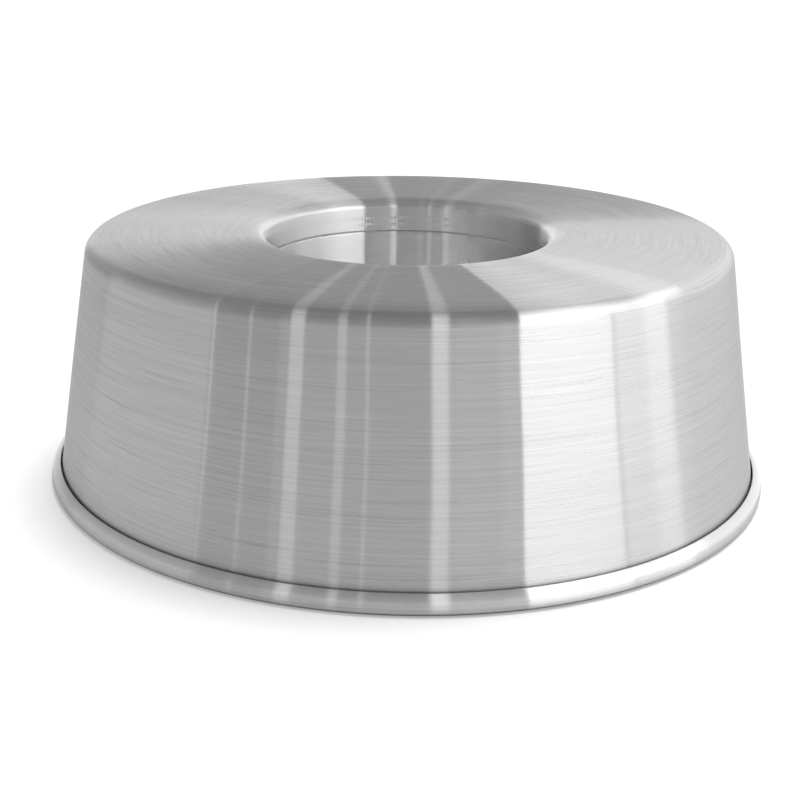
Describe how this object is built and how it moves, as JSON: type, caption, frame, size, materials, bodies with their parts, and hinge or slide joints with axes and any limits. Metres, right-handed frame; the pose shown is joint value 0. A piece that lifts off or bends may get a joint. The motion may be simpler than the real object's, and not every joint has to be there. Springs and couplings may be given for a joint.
{
  "type": "ring cake pan",
  "caption": "Round ring cake pan of spun aluminium with a tapered wall, soft shoulder, rolled rim and a wide tapered centre tube seamed into its base.",
  "frame": {"origin": "on the pan's axis, in the plane under the rolled rim, on which the pan stands upside down", "axes": "+Z along the pan's axis, from the open mouth up to the outside of the base; X and Y lie in the rim's plane and are alike"},
  "size_m": [0.25, 0.25, 0.084],
  "materials": {
    "body_aluminium": "bright spun aluminium with fine turning lines round the axis",
    "tube_aluminium": "bright drawn aluminium with fine lines round the axis",
    "steel_wire": "plain drawn steel wire"
  },
  "bodies": {
    "root": {"pan_shell": "body_aluminium", "centre_tube": "tube_aluminium", "rim_wire": "steel_wire"}
  },
  "joints": []
}
